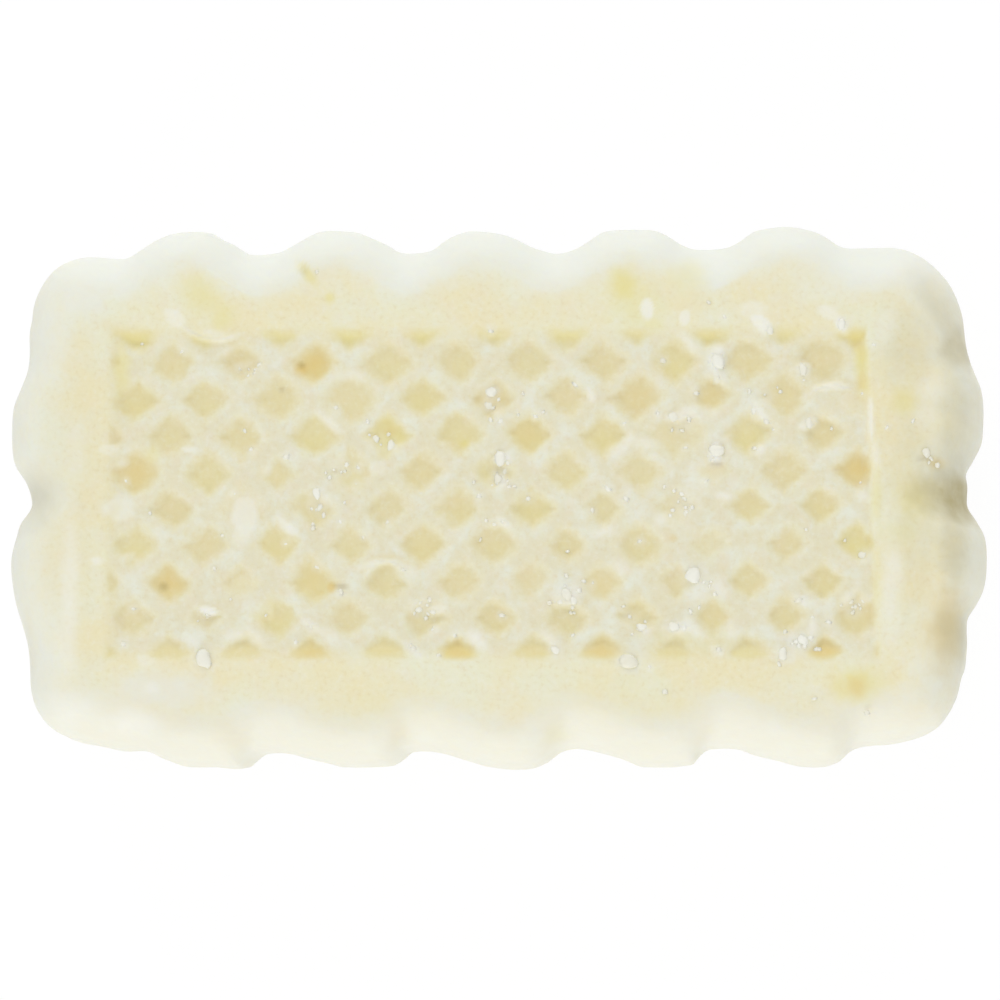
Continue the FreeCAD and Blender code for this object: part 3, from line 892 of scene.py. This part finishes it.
def addCrumb(bm, layers, chance, x, y, size):
    size *= crumbs["scale"]
    found = faceAt(x, y)
    divisions = 2 if size > 0.75 else 1
    made = bmesh.ops.create_icosphere(bm, subdivisions=divisions, radius=size / 2)["verts"]
    stretch = chance.uniform(*crumbs["stretch"])
    spin = Matrix.Rotation(chance.uniform(0, math.pi), 3, "Z")
    seat = bar["height"] + found["height"] + size * (0.5 * crumbs["flat"] - crumbs["sunk"])
    pale = chance.uniform(*crumbs["pale"])
    for vert in made:
        lumpy = 1 + crumbs["lumps"] * noise.noise(vert.co / size * 2.3 + Vector((x, y, 0)))
        spot = spin @ Vector((vert.co.x * stretch, vert.co.y / stretch, vert.co.z * crumbs["flat"]))
        vert.co = spot * lumpy + Vector((x, y, seat))
        vert[layers["chalk"]] = pale
        vert[layers["rib"]] = 1.0


def buildCrumbs():
    bm = bmesh.new()
    layers = {name: bm.verts.layers.float.new(name) for name in layerNames[1:]}
    chance = random.Random(crumbs["seed"])
    for x, y, size in crumbSpots:
        addCrumb(bm, layers, chance, x, y, size)
    for x, y, spread, count, largest in crumbClusters:
        for i in range(round(count * crumbs["crowding"])):
            offX = chance.gauss(0, spread * 0.6)
            offY = chance.gauss(0, spread * 0.6)
            size = largest * chance.uniform(*crumbs["clusterSize"])
            addCrumb(bm, layers, chance, x + offX, y + offY, size)
    for i in range(crumbs["scattered"]):
        x = chance.uniform(-33, 34)
        y = chance.uniform(-15, 15)
        addCrumb(bm, layers, chance, x, y, chance.uniform(*crumbs["scatteredSize"]))
    bmesh.ops.scale(bm, vec=(mm, mm, mm), verts=bm.verts)
    for face in bm.faces:
        face.smooth = True
    return bm


def soapMaterial(name, glow):
    look = {
        "cream": colour(239, 238, 212),
        "deepCream": colour(241, 233, 196),
        # painted shade in the pits
        "pit": colour(233, 224, 184),
        "rib": colour(233, 228, 200),
        "warm": colour(232, 206, 132),
        "yellow": colour(236, 226, 148),
        # pale edge colours: partly the soap's own skin, partly painted light on the rounded edges
        "coolEdge": colour(240, 242, 232),
        "warmEdge": colour(239, 237, 221),
        "chalk": colour(247, 247, 238),
        # a pale haze, partly chalky and partly a painted highlight on the rib tops
        "hazeAndRibSheen": colour(239, 245, 237),
        "blush": colour(240, 225, 200),
        "grit": colour(221, 204, 150),
        # colour of the painted shade, partly dirt
        "shadeAndDirt": colour(182, 168, 114),
        "dark": colour(156, 134, 78),
        "roughness": 0.5,
        "speckle": 0.22,
    }
    shader = Shader(name)
    place = shader.node("ShaderNodeTexCoord", output="Object")
    broad = shader.noise(place, 160.0, 3.0)
    patchy = shader.noise(place, 420.0, 4.0)
    small = shader.noise(place, 1100.0, 3.0)
    mottle = shader.noise(place, 640.0, 2.0)
    grain = shader.noise(place, 2300.0, 3.0)
    pit = shader.attribute("pit")
    rib = shader.attribute("rib")
    face = shader.mix(shader.clamp(broad, 0.35, 0.7), look["deepCream"], look["cream"])
    # the pale rounded edges: partly the soap's own skin, partly painted light
    edge = shader.clamp(shader.attribute("edge") + (patchy - 0.5) * 0.35, 0.0, 1.0)
    paleSkinAndLight = shader.mix(shader.attribute("cool"), look["warmEdge"], look["coolEdge"])
    base = shader.mix(edge, face, paleSkinAndLight)
    base = shader.mix(rib, base, look["rib"])
    # painted shade in the pits, tan and saturated
    base = shader.mix(shader.clamp(pit + (patchy - 0.5) * 0.3, 0.0, 1.0), base, look["pit"])
    # pale haze on the ribs, partly chalky and partly a painted highlight on the rib tops
    hazeAndRibSheen = shader.clamp(patchy, 0.42, 0.7) * (1 - pit) * (0.18 + rib * rib * 0.35)
    base = shader.mix(hazeAndRibSheen, base, look["hazeAndRibSheen"])
    base = shader.mix(shader.clamp(mottle, 0.45, 0.75) * (1 - edge) * 0.2, base, look["blush"])
    speckled = (1 - edge) * look["speckle"]
    base = shader.mix(shader.clamp(grain, 0.5, 0.75) * speckled, base, look["chalk"])
    base = shader.mix(shader.clamp(1 - grain, 0.52, 0.75) * speckled, base, look["grit"])
    base = shader.mix(shader.attribute("yellow"), base, look["yellow"])
    base = shader.mix(shader.attribute("warm"), base, look["warm"])
    # painted shade, grey-brown, partly dirt in the hollows
    shadeAndDirt = shader.attribute("shadeAndDirt")
    base = shader.mix(shadeAndDirt + (patchy - 0.5) * shadeAndDirt, base, look["shadeAndDirt"])
    base = shader.mix(shader.attribute("chalk"), base, look["chalk"])
    base = shader.mix(shader.attribute("dark"), base, look["dark"])
    relief = {"Strength": 0.4, "Distance": 0.00012, "Height": small + patchy}
    bump = shader.node("ShaderNodeBump", {}, relief)
    surface = shader.node(
        "ShaderNodeBsdfPrincipled",
        {"subsurface_method": "RANDOM_WALK"},
        {
            "Base Color": base,
            "Roughness": small * 0.15 + (look["roughness"] - 0.07),
            "Normal": bump,
            "IOR": 1.45,
            "Specular IOR Level": 0.35,
            "Subsurface Weight": 0.35 if glow else 0.0,
            "Subsurface Radius": (1.0, 0.9, 0.6),
            "Subsurface Scale": 0.0016,
        },
    )
    shader.node("ShaderNodeOutputMaterial", {}, {"Surface": surface})
    return shader.material


def finishPiece(bm, name, material):
    mesh = bpy.data.meshes.new(name)
    bm.to_mesh(mesh)
    bm.free()
    piece = bpy.data.objects.new(name, mesh)
    bpy.context.scene.collection.objects.link(piece)
    mesh.materials.append(material)
    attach(piece, "root")
    return piece


soap = soapMaterial("soap", True)
soapBar = finishPiece(buildBar(), "pressedBar", soap)
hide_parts("soap_bar")
print("bar made,", len(soapBar.data.polygons), "faces")
clinging = finishPiece(buildCrumbs(), "clingingCrumbs", soapMaterial("crumb", False))
print("crumbs made,", len(clinging.data.polygons), "faces")


# the floor, which shows as white and keeps the soft shadow
studio = {
    "floorSize": 3.0,
    "floorColour": colour(246, 246, 245),
    "floorGlow": 0.9,      # share of the floor's look that is plain white
    "glowStrength": 1.025,
    "worldStrength": 0.7,
    "lamps": {
        "key": {"place": (-0.1, 0.85, 0.45), "size": 0.8, "watts": 2.9},
        "fill": {"place": (-0.1, -0.85, 0.4), "size": 0.8, "watts": 3.1},
    },
}


def makeFloor():
    bm = bmesh.new()
    bmesh.ops.create_grid(bm, x_segments=1, y_segments=1, size=studio["floorSize"] / 2)
    mesh = bpy.data.meshes.new("floor")
    bm.to_mesh(mesh)
    bm.free()
    floor = bpy.data.objects.new("floor", mesh)
    bpy.context.scene.collection.objects.link(floor)
    shader = Shader("floor")
    seen = shader.node("ShaderNodeLightPath", output="Is Camera Ray")
    seen = seen + shader.node("ShaderNodeLightPath", output="Is Glossy Ray")
    seen = seen + shader.node("ShaderNodeLightPath", output="Is Transmission Ray")
    diffuse = shader.node("ShaderNodeBsdfDiffuse", {}, {"Color": studio["floorColour"]})
    white = {"Color": (1, 1, 1, 1), "Strength": studio["glowStrength"]}
    glow = shader.node("ShaderNodeEmission", {}, white)
    part = shader.node("ShaderNodeMixShader", {}, {0: seen * studio["floorGlow"], 1: diffuse, 2: glow})
    shader.node("ShaderNodeOutputMaterial", {}, {"Surface": part})
    mesh.materials.append(shader.material)
    return floor


def makeLight():
    world = bpy.data.worlds.new("studio")
    bpy.context.scene.world = world
    world.use_nodes = True
    background = world.node_tree.nodes["Background"]
    background.inputs["Color"].default_value = (1, 1, 1, 1)
    background.inputs["Strength"].default_value = studio["worldStrength"]
    for name, given in studio["lamps"].items():
        lamp = bpy.data.lights.new(name, "AREA")
        lamp.shape = "DISK"
        lamp.size = given["size"]
        lamp.energy = given["watts"]
        lit = bpy.data.objects.new(name, lamp)
        lit.location = given["place"]
        lit.rotation_euler = (-Vector(given["place"])).to_track_quat("-Z", "Y").to_euler()
        bpy.context.scene.collection.objects.link(lit)


camera = {
    "distance": 0.45,
    "tiltRight": 3.4,     # degrees off the vertical, towards the bar's right end
    "tiltNear": 4.7,      # and towards its lower side in the picture
    "lens": 174.1,
    "aim": (0.0, 0.00022, 0.012),
}


def makeCamera():
    data = bpy.data.cameras.new("camera")
    data.lens = camera["lens"]
    data.sensor_width = 36.0
    view = bpy.data.objects.new("camera", data)
    offsetX = math.tan(math.radians(camera["tiltRight"]))
    offsetY = -math.tan(math.radians(camera["tiltNear"]))
    back = Vector((offsetX, offsetY, 1)).normalized()
    aim = Vector(camera["aim"])
    view.location = aim + back * camera["distance"]
    across = Vector((1, 0, 0))
    across = (across - across.dot(back) * back).normalized()
    upward = back.cross(across)
    view.rotation_mode = "QUATERNION"
    view.rotation_quaternion = Matrix((across, upward, back)).transposed().to_quaternion()
    bpy.context.scene.collection.objects.link(view)
    bpy.context.scene.camera = view
    return view


makeFloor()
makeLight()
makeCamera()
bpy.context.scene.view_settings.view_transform = "Standard"
print("studio made")
